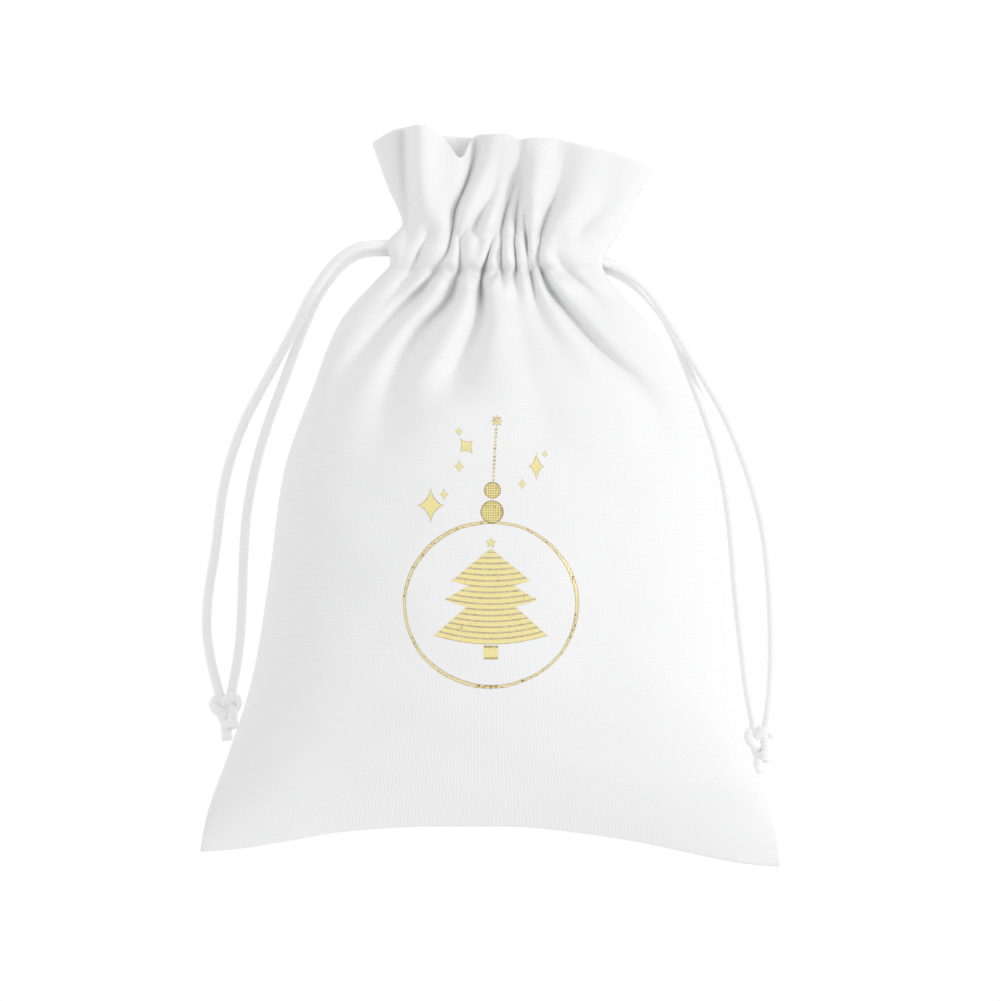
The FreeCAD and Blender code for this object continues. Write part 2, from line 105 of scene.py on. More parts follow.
# Each valley: its place across the flat cut, then a line of y, x, depth (a share of the cloth's height
# above the seams; below zero it is a ridge) and half width.
FRONT_VALLEYS = [
    (-62.0, [(95, -22.4, 0.75, 1.7), (80, -22.0, 0.7, 1.6), (70, -20.8, 0.5, 1.3), (64, -21.5, 0.2, 1.2),
        (57, -23.8, 0.0, 1.2)]),
    (-53.0, [(95, -18.2, -0.8, 4.4), (84, -18.0, -0.8, 4.0), (76, -17.4, -0.6, 3.2), (70, -15.6, 0.0, 2.0),
        (68, -15.4, 0.3, 1.3), (65, -16.9, 0.6, 1.0), (60, -19.2, 0.7, 1.2),
        (56, -21.4, 0.5, 1.8), (50, -26.0, 0.22, 2.8), (40, -34.0, 0.05, 5.0), (30, -40, 0.0, 6.0)]),
    (-44.0, [(95, -3.2, 0.6, 2.8), (86, -4.2, 0.78, 2.6), (80, -6.4, 0.76, 2.3), (74, -9.0, 0.78, 1.7),
        (68, -9.5, 0.75, 1.2), (64, -10.2, 0.6, 1.0), (58, -13.4, 0.7, 1.2), (54, -16.6, 0.75, 1.7),
        (50, -20.6, 0.64, 2.7), (39, -30.5, 0.45, 4.4), (30, -36.9, 0.28, 6.0), (18, -41, 0.08, 7.0),
        (6, -43, 0.0, 8.0)]),
    (-32.0, [(70, -6.4, 0.0, 1.2), (66, -7.0, 0.5, 1.0), (60, -7.8, 0.55, 1.0), (56, -8.6, 0.8, 1.4),
        (51, -10.2, 0.7, 2.2), (43, -17.2, 0.52, 3.6), (31, -23.8, 0.36, 5.5), (20, -27.4, 0.17, 7.0),
        (8, -30, 0.0, 8.0)]),
    (-24.0, [(95, 4.0, 0.05, 3.6), (84, 2.2, 0.25, 3.4), (77, 0.4, 0.5, 2.8), (69, -3.8, 0.6, 1.6),
        (65.5, -4.6, 0.0, 1.0), (57, -5.6, 0.0, 1.0)]),
    (-12.0, [(80, 3.6, 0.0, 1.6), (70, 1.6, 0.12, 1.4), (65, 0.6, 0.35, 1.0), (60, -0.9, 0.55, 0.9),
        (55, -2.2, 0.7, 1.1), (47, -2.5, 0.52, 2.1), (37, -5.6, 0.36, 3.8), (30, -9.2, 0.25, 6.0),
        (22, -11, 0.0, 7.0)]),
    (2.0, [(95, 8.6, 0.05, 3.0), (86, 7.6, 0.35, 2.8), (79, 5.8, 0.8, 2.2), (71, 3.6, 0.95, 1.8),
        (66, 2.9, 0.6, 1.1), (62, 2.9, 0.7, 0.8), (57, 2.9, 0.6, 0.8), (53, 3.2, 0.0, 1.2)]),
    (12.0, [(88, 9.6, 0.0, 2.0), (82, 8.3, 0.3, 1.8), (76, 7.3, 0.8, 1.5), (70, 6.6, 0.9, 1.3),
        (66, 6.5, 0.6, 1.0), (61, 6.6, 0.7, 0.8), (57, 6.8, 0.5, 1.0), (47, 7.4, 0.16, 3.4),
        (34, 9.7, 0.09, 5.0), (17, 14.6, 0.04, 7.0), (4, 17, 0.0, 8.0)]),
    (24.0, [(78, 9.6, 0.0, 1.2), (72, 9.0, 0.5, 1.0), (66, 9.2, 0.6, 0.9), (58, 10.3, 0.6, 0.9),
        (52, 11.5, 0.4, 1.5), (46, 12.8, 0.24, 3.0), (38, 17.4, 0.1, 4.5), (28, 22, 0.0, 6.0)]),
    (42.0, [(95, 19.4, 0.2, 4.4), (86, 18.6, 0.36, 4.2), (78, 16.8, 0.55, 3.4), (72, 14.6, 0.75, 2.3),
        (66, 12.9, 0.75, 1.1), (61, 12.3, 0.6, 0.9), (57, 13.4, 0.65, 1.1), (52, 16.0, 0.62, 1.6),
        (48.5, 18.7, 0.56, 2.1), (37, 28.5, 0.34, 3.0), (28, 37.8, 0.18, 4.2), (19, 43.1, 0.08, 5.0),
        (6, 46, 0.0, 7.0)]),
    (56.0, [(66, 16.4, 0.0, 1.2), (62, 17.2, 0.3, 1.2), (58.5, 19.2, 0.5, 1.2), (55, 22.6, 0.4, 1.8),
        (50, 27.0, 0.15, 3.0), (43, 31, 0.0, 4.0)]),
    (66.0, [(95, 33.0, 0.0, 4.0), (84, 31.0, 0.15, 3.8), (75, 28.6, 0.32, 3.4), (69, 23.6, 0.4, 2.2),
        (66, 22.6, 0.1, 1.6), (62, 23.4, 0.0, 1.6), (56, 26.4, 0.0, 2.0), (43, 35.0, 0.0, 4.0)]),
]
BACK_VALLEYS = [
    (-60.0, [(95, -22.5, 0.4, 3.0), (80, -20, 0.5, 2.2), (62, -17, 0.6, 1.3), (57, -18.5, 0.6, 1.4),
        (45, -27, 0.25, 3.0), (30, -38, 0.0, 5.0)]),
    (-43.0, [(95, -14, 0.6, 3.0), (80, -12.5, 0.75, 2.2), (62, -11.5, 0.65, 1.3), (57, -12.4, 0.75, 1.4),
        (45, -19, 0.4, 3.0), (30, -29, 0.2, 5.0), (12, -36, 0.0, 6.0)]),
    (-27.0, [(95, -6.4, 0.0, 3.0), (80, -6, 0.2, 2.2), (62, -6.2, 0.6, 1.3), (57, -6.4, 0.7, 1.4),
        (45, -10, 0.25, 3.0), (34, -16, 0.0, 5.0)]),
    (-10.0, [(95, -1.0, 0.5, 3.0), (80, -1.2, 0.7, 2.2), (62, -1.0, 0.65, 1.2), (57, -1.2, 0.8, 1.4),
        (45, -3.4, 0.4, 3.0), (28, -7, 0.15, 5.0), (12, -10, 0.0, 6.0)]),
    (6.0, [(95, 8.5, 0.0, 3.0), (80, 6.0, 0.3, 2.2), (62, 4.4, 0.65, 1.2), (57, 4.6, 0.6, 1.4),
        (48, 5, 0.1, 2.4), (40, 6, 0.0, 4.0)]),
    (22.0, [(95, 16.0, 0.6, 3.0), (80, 13.5, 0.75, 2.2), (62, 10.4, 0.7, 1.3), (57, 10.6, 0.8, 1.4),
        (45, 14, 0.35, 3.0), (26, 20, 0.14, 5.0), (10, 23, 0.0, 6.0)]),
    (40.0, [(95, 25.5, 0.1, 3.0), (80, 22.0, 0.3, 2.2), (62, 17.0, 0.65, 1.3), (57, 17.8, 0.7, 1.4),
        (45, 25, 0.3, 3.0), (28, 35, 0.0, 5.0)]),
    (58.0, [(95, 34.5, 0.4, 3.0), (80, 30, 0.5, 2.2), (62, 23.8, 0.6, 1.3), (57, 24.6, 0.6, 1.4),
        (45, 33, 0.2, 3.0), (34, 40, 0.0, 5.0)]),
]
# the frill's top edges: place across the flat cut and y
FRONT_TOP = [(-75, 90.8), (-63, 94.4), (-56, 95.0), (-50, 92.6), (-44, 86.6), (-37, 91.0), (-30, 92.8),
             (-12, 92.8), (2, 91.4), (24, 91.8), (42, 91.6), (52, 91.2), (66, 88.0), (75, 84.2)]
BACK_TOP = [(-75, 90.8), (-60, 92.4), (-43, 92.8), (-20, 92.4), (6, 91.6), (30, 90.6), (52, 88.6),
            (75, 84.2)]
# the bottom edge, from corner to corner: x and y
BOTTOM_EDGE = [(-75, -91.7), (-66, -90.9), (-52, -88.6), (-38, -86.2), (-15, -84.8), (5, -84.8),
               (24, -86.6), (40, -89.2), (54, -92.3), (66, -94.7), (75, -95.6)]

# ---- free strands, in millimetres: the routes of the frame's tubes ----
LEFT_OUTER = [
    (-15.0, 64.4, 19.4), (-26.4, 65.0, 19.2), (-36.6, 63.8, 18.6), (-44.6, 54.6, 12.0), (-50.8, 42.5, 4.4),
    (-57.8, 30.0, 1.4), (-64.8, 17.0, 1.35), (-69.2, 2.0, 1.35), (-70.6, -13.0, 1.35), (-73.2, -27.0, 1.35),
    (-73.0, -40.0, 1.6), (-69.6, -51.4, 3.0),
]
LEFT_INNER = [
    (-15.0, 62.4, 17.2), (-26.4, 63.2, 17.0), (-35.6, 62.4, 13.6), (-43.6, 53.6, 4.4), (-48.6, 42.6, 1.35),
    (-53.2, 30.0, 1.35), (-58.8, 15.0, 1.35), (-62.6, -1.0, 1.35), (-63.7, -16.0, 1.35), (-64.0, -30.0, 1.35),
    (-64.8, -41.0, 1.6), (-66.8, -51.4, 3.0),
]
RIGHT_OUTER = [
    (18.0, 62.4, 19.4), (28.8, 61.2, 19.2), (39.4, 55.4, 17.4), (46.8, 44.8, 10.6), (53.0, 34.4, 4.2),
    (60.6, 22.0, 1.35), (66.4, 8.0, 1.35), (71.0, -8.0, 1.35), (72.6, -25.0, 1.35), (73.0, -40.0, 1.35),
    (72.6, -51.6, 1.7), (71.2, -59.8, 3.0),
]
RIGHT_INNER = [
    (18.0, 60.4, 17.2), (28.6, 59.4, 16.8), (38.0, 54.6, 12.0), (46.4, 45.0, 3.8), (51.0, 33.0, 1.35),
    (56.2, 20.0, 1.35), (60.4, 6.0, 1.35), (62.6, -10.0, 1.35), (63.6, -25.0, 1.35), (65.4, -40.0, 1.35),
    (66.6, -50.6, 1.7), (68.4, -59.8, 3.0),
]
# the hidden runs: along the front channel, round a turn and back along the back channel
LEFT_RUN = [
    (-15.0, 64.4, 19.4), (-8.0, 64.0, 19.4), (8.0, 63.6, 19.3), (17.0, 63.6, 19.4), (21.0, 63.6, 18.0),
    (17.0, 63.6, 16.6), (8.0, 63.4, 16.7), (-8.0, 62.4, 17.0), (-15.0, 62.4, 17.2),
]
RIGHT_RUN = [
    (18.0, 62.4, 19.4), (12.0, 61.0, 19.4), (0.0, 60.2, 19.3), (-10.0, 60.2, 19.4), (-14.0, 60.2, 18.0),
    (-10.0, 60.2, 16.6), (0.0, 60.2, 16.7), (12.0, 60.0, 17.0), (18.0, 60.4, 17.2),
]
CORD = 2.5                # thickness of the cord
BRAID = 1.9               # length of one round of its braid
BRAID_RELIEF = 0.022      # depth of the braid, as a share of the cord's radius
PLAITS = 4                # plaits that cross each way round the cord

# ---- knots, in millimetres; y points back along the strands ----
LEFT_KNOT = (-68.0, -54.4, 3.3)
RIGHT_KNOT = (69.8, -62.8, 3.3)
LEFT_HEADING = 8          # degrees that the knot leans
RIGHT_HEADING = 3
KNOT_WIDTH = 3.3          # half size of the knot's line, before its cord's thickness
KNOT_LENGTH = 3.8
KNOT_DEPTH = 1.2
KNOT_CORD = 1.3           # radius of the cord in the tied loop
KNOT_ENTRY = (0.8, 0.5, 0.2)    # where a strand ends inside; x is mirrored for the other
TAIL_BEND = (0.7, -0.6 * KNOT_LENGTH, -0.6)    # where a tail leaves; x is mirrored too
# where the two tails stop
TAIL_ENDS = [(-0.9, -KNOT_LENGTH - 4.4, -1.2), (1.5, -KNOT_LENGTH - 1.6, -1.2)]

# ---- stitches, in millimetres ----
STITCH_PITCH = 3.0
STITCH_LENGTH = 2.3
STITCH_BOW = 0.1          # how far a stitch's middle stands out
THREAD = 0.13             # radius of the thread
# each row's name, its t, and how far its thread lies from the cloth's middle surface
STITCH_ROWS = [("lower", CHANNEL_LOW, 0.24), ("upper", CHANNEL_HIGH, 0.41)]

# ---- print, in millimetres ----
RING = (0.3, -27.2, 21.8, 20.8)    # middle x, middle y, half width, half height
RING_LINE = 0.78    # mean width of the ring's line
CAP = [(0.6, -3.8, 2.9), (0.7, 1.7, 2.1)]    # two beads: x, y, radius
CHAIN_START = (0.9, 4.3)
CHAIN_END = (1.6, 17.1)
CHAIN_DOTS = 14
CHAIN_DOT = 0.34    # radius of a dot
CHAIN_STAR = (1.8, 19.2, 1.5, 0.8, 8)    # x, y, outer radius, inner radius, tips
TREE_X = 0.3
TREE_PROFILE = [(-13.2, 0.3), (-21.4, 10.2), (-22.3, 5.6), (-26.4, 12.4), (-27.6, 6.0), (-36.4, 16.0),
                (-37.2, 15.2)]    # y and half width, from the top
TREE_STAR = (TREE_X, -11.6, 1.3, 0.6, 5)
TRUNK = (1.8, -41.0, -37.6)    # half width, low y, high y
GARLAND_PITCH = 1.46
GARLAND_GAP = 0.12
GARLAND_RADIUS = 46.0    # the garlands sag on circles of this radius
# x, y, half width, half height and, where it isn't upright, the lean in radians
SPARKLES = [
    (-14.9, -2.1, 3.3, 4.3), (-11.5, 0.6, 1.1, 1.6), (-7.7, 7.7, 1.3, 1.6), (-5.9, 12.8, 2.2, 2.6, 0.7),
    (-7.8, 16.5, 1.0, 1.2), (11.8, 7.7, 1.9, 3.6), (13.9, 10.8, 0.8, 1.0), (8.2, 3.3, 1.0, 1.5),
]

# ---- the frame's nodes that a cloth shows ----
CLOTH_NODES = ["panel", "channel_wall", "header", "header_hem", "channel_facing"]
SEAM_NODES = {"front": ["left_seam_allowance", "right_seam_allowance"], "back": ["bottom_seam_allowance"]}


# ---- camera ----
def make_camera():
    """Straight above the pouch, with the mouth up in the picture."""
    x, y, z = (0.0026, -0.0009, 0.02)
    distance = 2.5
    view_width = 0.2564
    data = bpy.data.cameras.new("camera")
    data.sensor_width = 36.0
    data.lens = data.sensor_width * distance / view_width
    data.clip_end = 20.0
    camera = bpy.data.objects.new("camera", data)
    camera.location = (x, y, z + distance)
    bpy.context.scene.collection.objects.link(camera)
    bpy.context.scene.camera = camera


# ---- small tools ----
def pchip(places, values, query):
    """Smooth curve through points that never overshoots them."""
    x = np.asarray(places, float)
    y = np.asarray(values, float)
    h = np.diff(x)
    slope = np.diff(y) / h
    tangent = np.zeros_like(y)
    same = slope[:-1] * slope[1:] > 0
    w1 = 2 * h[1:] + h[:-1]
    w2 = h[1:] + 2 * h[:-1]
    with np.errstate(divide="ignore", invalid="ignore"):
        harmonic = (w1 + w2) / (w1 / slope[:-1] + w2 / slope[1:])
    tangent[1:-1] = np.where(same, harmonic, 0.0)
    tangent[0] = slope[0]
    tangent[-1] = slope[-1]
    q = np.clip(query, x[0], x[-1])
    k = np.clip(np.searchsorted(x, q, side="right") - 1, 0, len(h) - 1)
    f = (q - x[k]) / h[k]
    curve = y[k] * (1 + 2 * f) * (1 - f) ** 2 + tangent[k] * h[k] * f * (1 - f) ** 2
    return curve + y[k + 1] * f * f * (3 - 2 * f) - tangent[k + 1] * h[k] * f * f * (1 - f)


def new_mesh(name, points, faces, uv=None):
    """A smooth object from points in metres; uv holds one pair for each point."""
    data = bpy.data.meshes.new(name)
    data.from_pydata([tuple(p) for p in points], [], faces)
    if uv is not None:
        layer = data.uv_layers.new(name="flat")
        places = np.asarray(uv, float)[[loop.vertex_index for loop in data.loops]]
        layer.data.foreach_set("uv", places.astype(np.float32).ravel())
    data.shade_smooth()
    obj = bpy.data.objects.new(name, data)
    bpy.context.scene.collection.objects.link(obj)
    return obj


def grid_faces(rows, columns, flip=False):
    """The squares of a grid whose points are listed row by row."""
    faces = []
    for j in range(rows - 1):
        for i in range(columns - 1):
            a = j * columns + i
            face = (a, a + 1, a + columns + 1, a + columns)
            faces.append(face[::-1] if flip else face)
    return faces


# ---- cloth ----
def row_height(x, side, middle, half, rise, valleys):
    """Height of one row's cloth above the seams: a bow with every valley pressed into it."""
    bow = np.sqrt(np.maximum(1 - ((x - middle) / half) ** 2, 0.0))
    height = rise * (bow if side > 0 else bow ** 0.75)
    for anchor, depth, width in valleys:
        height = height * (1 - depth * np.exp(-np.abs((x - anchor) / width) ** 1.7))
    return height


def smoothed(values, cells):
    """A row with its unevenness spread over some cells; both ends stay."""
    reach = int(3 * cells) + 1
    kernel = np.exp(-0.5 * (np.arange(-reach, reach + 1) / cells) ** 2)
    before = 2 * values[0] - values[reach:0:-1]
    after = 2 * values[-1] - values[-2:-reach - 2:-1]
    return np.convolve(np.concatenate([before, values, after]), kernel / kernel.sum(), "valid")


def section(side, left, right, seam_z, gap, rise, flats, valleys, across, cells):
    """One row of the cloth, its points spaced by length between neighbouring valleys."""
    middle = (left + right) / 2
    half = (right - left) / 2
    anchors = np.array([left] + [v[0] for v in valleys] + [right])
    angles = np.arcsin(np.clip((anchors - middle) / half, -1.0, 1.0))
    x = np.empty_like(across)
    for k in range(len(flats) - 1):
        inside = (across >= flats[k]) & (across <= flats[k + 1])
        line_x = middle + half * np.sin(np.linspace(angles[k], angles[k + 1], 61))
        line_z = row_height(line_x, side, middle, half, rise, valleys)
        length = np.concatenate([[0.0], np.cumsum(np.hypot(np.diff(line_x), np.diff(line_z)))])
        share = (across[inside] - flats[k]) / (flats[k + 1] - flats[k])
        x[inside] = np.interp(share * length[-1], length, line_x)
    x = smoothed(x, cells)
    return x, seam_z + side * (gap + row_height(x, side, middle, half, rise, valleys))


def valley_values(valleys, y, left, right):
    """Place on the flat cut, and x, depth and half width, of every valley at one height.

    Below its line's end, a valley's place eases into an even spread.
    """
    middle = (left + right) / 2
    half = (right - left) / 2
    release = 20.0
    flats = [-HALF_CUT]
    values = []
    for flat, line in valleys:
        ys, *columns = np.array(line[::-1], float).T
        place, depth, width = (float(pchip(ys, column, np.array([y]))[0]) for column in columns)
        free = middle + half * math.sin(math.pi / 2 * flat / HALF_CUT)
        hold = min(max((y - ys[0] + release) / release, 0.0), 1.0)
        flats.append(flat)
        values.append((free + (place - free) * hold, depth, width))
    flats.append(HALF_CUT)
    return np.array(flats), values


def near(t, middle, reach):
    """1 round a flat height, with a firm fall to 0 on both sides."""
    return np.exp(-((t - middle) / reach) ** 4)


def seeded_waves(across, up, seed, count, pitches, height):
    """The sum of some waves that run any way over the flat cut; height gives a wave's from its pitch."""
    rng = np.random.default_rng(seed)
    s, t = np.meshgrid(across, up)
    waves = np.zeros_like(s)
    for _ in range(count):
        pitch = rng.uniform(*pitches)
        way = rng.uniform(0.0, math.pi)
        phase = rng.uniform(0.0, 2 * math.pi)
        along = math.cos(way) * s + math.sin(way) * t
        waves += height(pitch) * np.sin(2 * math.pi / pitch * along + phase)
    return waves


def crumple(across, up):
    """A faint unevenness of the whole cloth, in millimetres."""
    return seeded_waves(across, up, SEED, count=14, pitches=(14.0, 46.0), height=lambda pitch: 0.0035 * pitch)


def puckers(across, up):
    """Small puffs in millimetres where the channel's cloth bunches between its stitches."""
    waves = seeded_waves(across, up, SEED + 1, count=10, pitches=(6.0, 12.0), height=lambda pitch: 0.34)
    return waves * near(up, GATHER, 8.0)[:, None]


def row_waves(across, side):
    """How far the gathered rows stray along y, in millimetres."""
    return 0.5 * np.sin(across * 0.42 + side) + 0.4 * np.sin(across * 0.83 + 2.0)


def drawn_in(t):
    """Share of the height that the stitch rows take away; below zero where the pleats bulge."""
    return sum(share * math.exp(-((t - middle) / reach) ** 2) for middle, reach, share in CINCHES)


def seam_gap(t):
    """Half the distance of the two cloths at the side seams, which part where the cords leave."""
    middle = (CHANNEL_LOW + CHANNEL_HIGH) / 2
    opening = math.sqrt(max(1 - ((t - middle) / MOUTH_REACH) ** 2, 0.0))
    return SEAM_HALF + (MOUTH_HALF - SEAM_HALF) * opening


def cloth_grid(side):
    """Points in millimetres of one cloth's middle surface, and its flat coordinates."""
    valleys = FRONT_VALLEYS if side > 0 else BACK_VALLEYS
    top = FRONT_TOP if side > 0 else BACK_TOP
    table = np.array(STATIONS)
    count = int(2 * HALF_CUT / STEP) + 1
    across = np.linspace(-HALF_CUT, HALF_CUT, count)
    up = np.linspace(0.0, CUT_LENGTH, int(CUT_LENGTH / STEP) + 1)
    y, left, right, seam_z, rise, drop = (pchip(table[:, 0], table[:, k], up) for k in range(1, 7))
    top_y = pchip(*zip(*top), across)
    points = np.empty((len(up), count, 3))
    edge = np.sin(np.pi / 2 * across / HALF_CUT)
    bottom_y = pchip(*zip(*BOTTOM_EDGE), HALF_CUT * edge)
    inner = 1 - edge ** 6
    uneven = crumple(across, up) * inner
    puffs = puckers(across, up) * inner
    gathered = row_waves(across, side) * inner
    for j, t in enumerate(up):
        flats, values = valley_values(valleys, y[j], left[j], right[j])
        height = rise[j] if side > 0 else drop[j]
        gap = seam_gap(t)
        inner_height = max(height + SEAM_HALF - gap, 0.0) * (1 - drawn_in(t))
        cells = float(np.interp(t, *zip(*SPREAD)))
        x, z = section(side, left[j], right[j], seam_z[j], gap, inner_height, flats, values, across, cells)
        low = min(t / LENS_HIGH, 1.0)
        if low < 1.0:
            flat_x = (left[j] + right[j]) / 2 + (right[j] - left[j]) / 2 * edge
            lens_z = seam_z[j] + side * (SEAM_HALF + height * (1 - edge ** 2))
            x = flat_x + (x - flat_x) * low
            z = lens_z + (z - lens_z) * low
        corner = max(1 - t / CORNER_REACH, 0.0) ** 1.6
        frill = max((t - FRILL_LOW) / (CUT_LENGTH - FRILL_LOW), 0.0)
        row_y = y[j] + corner * (bottom_y - y[0])
        row_y = row_y + frill * (top_y - y[-1]) + gathered * near(t, GATHER, 11.0)
        points[j] = np.stack([x, row_y, z + side * (uneven[j] * low + puffs[j])], axis=1)
    return points, across, up


def relax(points, rounds):
    """Round the creases a little; the outer edges stay."""
    result = points.copy()
    for _ in range(rounds):
        inner = result[1:-1, 1:-1]
        mean = (result[:-2, 1:-1] + result[2:, 1:-1] + result[1:-1, :-2] + result[1:-1, 2:]) / 4
        result[1:-1, 1:-1] = (inner + mean) / 2
    return result


def add_allowances(points, across, up):
    """Turn the seam allowances inside: a few columns at each side and a few rows at the bottom."""
    turns = np.array(ALLOWANCES)
    left = np.stack([points[:, 0] + [turn, 0, 0] for turn in turns], axis=1)
    right = np.stack([points[:, -1] - [turn, 0, 0] for turn in turns[::-1]], axis=1)
    points = np.concatenate([left, points, right], axis=1)
    across = np.concatenate([-HALF_CUT - turns, across, HALF_CUT + turns[::-1]])
    bottom = []
    for turn in turns:
        row = points[int(round(turn / STEP))].copy()
        row[:, 0] *= NARROWED
        row[:, 2] = points[0][:, 2]
        bottom.append(row)
    points = np.concatenate([np.array(bottom), points], axis=0)
    up = np.concatenate([-turns, up])
    return points, across, up


def in_corner(first, columns):
    """True for the squares where the side allowances would reach past the bottom one."""
    row, column = divmod(first, columns)
    turned = len(ALLOWANCES)
    return row < CORNER_ROWS and (column < turned or column > columns - 2 - turned)


def cloth_piece(side):
    """One whole cloth with its thickness and turned edges, and the grid of its points."""
    name = "front_cloth" if side > 0 else "back_cloth"
    points, across, up = cloth_grid(side)
    points = relax(points, 2)
    points, across, up = add_allowances(points, across, up)
    points[:, :, 2] = np.maximum(points[:, :, 2], CLOTH / 2 + CLEARANCE)
    rows, columns = points.shape[:2]
    uv = np.stack(np.meshgrid(across, up), axis=2).reshape(-1, 2) * MM
    faces = [face for face in grid_faces(rows, columns, side < 0) if not in_corner(face[0], columns)]
    obj = new_mesh(name, points.reshape(-1, 3) * MM, faces, uv)
    group = obj.vertex_groups.new(name="layers")
    for j, t in enumerate(up):
        weight = 1.0 if t > DOUBLED_FROM else 0.0
        group.add(list(range(j * columns, (j + 1) * columns)), weight, "REPLACE")
    thick = obj.modifiers.new("thickness", "SOLIDIFY")
    thick.thickness = HEM * MM
    thick.offset = 0.0
    thick.vertex_group = "layers"
    thick.thickness_vertex_group = CLOTH / HEM
    fine = obj.modifiers.new("fine", "SUBSURF")
    fine.levels = 1
    fine.render_levels = 1
    return obj, points


# ---- tubes ----
def route_points(points, spacing):
    """Points read at even steps from the route's own smooth line."""
    data = bpy.data.curves.new("route", "CURVE")
    data.dimensions = "3D"
    spline = data.splines.new("NURBS")
    spline.points.add(len(points) - 1)
    for point, place in zip(spline.points, points):
        point.co = (place[0] * MM, place[1] * MM, place[2] * MM, 1.0)
    spline.order_u = 3
    spline.use_endpoint_u = True
    data.resolution_u = 24
    holder = bpy.data.objects.new("route", data)
    bpy.context.scene.collection.objects.link(holder)
    bpy.context.view_layer.update()
    mesh = bpy.data.meshes.new_from_object(holder)
    line = np.array([v.co[:] for v in mesh.vertices])
    bpy.data.objects.remove(holder)
    bpy.data.curves.remove(data)
    bpy.data.meshes.remove(mesh)
    steps = np.concatenate([[0.0], np.cumsum(np.linalg.norm(np.diff(line, axis=0), axis=1))])
    count = max(int(steps[-1] / spacing), 4)
    even = np.linspace(0.0, steps[-1], count + 1)
    return np.stack([np.interp(even, steps, line[:, k]) for k in range(3)], axis=1), steps[-1]


def frames_along(line):
    """Tangents and two steady normals along a line."""
    tangent = np.gradient(line, axis=0)
    tangent /= np.linalg.norm(tangent, axis=1)[:, None]
    side = np.cross(tangent[0], [0.0, 0.0, 1.0])
    if np.linalg.norm(side) < 0.1:
        side = np.cross(tangent[0], [0.0, 1.0, 0.0])
    normals = []
    for t in tangent:
        side = side - t * np.dot(side, t)
        side /= np.linalg.norm(side)
        normals.append(side)
    normals = np.array(normals)
    return tangent, normals, np.cross(tangent, normals)


def beside(place, normal, binormal, angle, distance):
    """The point at an angle round a place on a line."""
    return place + (math.cos(angle) * normal + math.sin(angle) * binormal) * distance


def braid_tube(name, line, radius, around=28):
    """A tube with a fine braided relief; its uv runs round and along it in metres."""
    _, normal, binormal = frames_along(line)
    steps = np.concatenate([[0.0], np.cumsum(np.linalg.norm(np.diff(line, axis=0), axis=1))])
    points, uv = [], []
    for j, place in enumerate(line):
        for i in range(around + 1):
            angle = 2 * math.pi * i / around
            phase = steps[j] / (BRAID * MM) * 2 * math.pi
            crossing = math.sin(PLAITS * angle + phase) * math.sin(PLAITS * angle - phase)
            out = radius * (1 - BRAID_RELIEF / 2 + BRAID_RELIEF * crossing)
            points.append(beside(place, normal[j], binormal[j], angle, out))
            uv.append((angle * radius, steps[j]))
    obj = new_mesh(name, points, grid_faces(len(line), around + 1, True), uv)
    weld = obj.modifiers.new("weld", "WELD")
    weld.merge_threshold = 1e-6
    return obj


def strand(name, route, node):
    """A free strand, from inside the channel to its knot."""
    line, length = route_points(route, 0.4 * MM)
    obj = braid_tube(name, line, CORD / 2 * MM)
    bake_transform(obj)
    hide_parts(node)
    return obj


def channel_run(name, route, side):
    """The hidden stretch of a cord inside both channels, with its turn."""
    line, _ = route_points(route, 0.8 * MM)
    obj = braid_tube(name, line, CORD / 2 * MM, 20)
    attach(obj, side + "_cord")
    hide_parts(side + "_cord_channel_run")
    return obj


def join(name, parts):
    """One object from several meshes, with its modifiers applied first."""
    depsgraph = bpy.context.evaluated_depsgraph_get()
    points, faces, uv = [], [], []
    for part in parts:
        mesh = part.evaluated_get(depsgraph).to_mesh()
        base = len(points)
        points.extend(v.co.copy() for v in mesh.vertices)
        layer = mesh.uv_layers[0].data
        for polygon in mesh.polygons:
            faces.append([base + v for v in polygon.vertices])
            uv.extend(layer[k].uv.copy() for k in polygon.loop_indices)
    obj = new_mesh(name, points, faces)
    layer = obj.data.uv_layers.new(name="flat")
    layer.data.foreach_set("uv", np.array(uv, dtype=np.float32).ravel())
    for part in parts:
        data = part.data
        bpy.data.objects.remove(part)
        bpy.data.meshes.remove(data)
    return obj


def tied_loop(turn):
    """The line of an overhand knot pulled tight: a trefoil, longer than it is wide."""
    loop = []
    for k in range(180):
        t = 2 * math.pi * k / 180
        place = Vector((
            KNOT_WIDTH * (math.sin(t) + 2 * math.sin(2 * t)) / 3,
            KNOT_LENGTH * (math.cos(t) - 2 * math.cos(2 * t)) / 3,
            -KNOT_DEPTH * math.sin(3 * t),
        ))
        loop.append((turn @ (place * MM))[:])
    return np.array(loop + loop[:1])


def bent_line(start, bend, end, steps):
    """A line between two points that leans towards a third."""
    line = []
    for k in range(steps + 1):
        share = k / steps
        line.append(start.lerp(bend, share).lerp(bend.lerp(end, share), share)[:])
    return np.array(line)


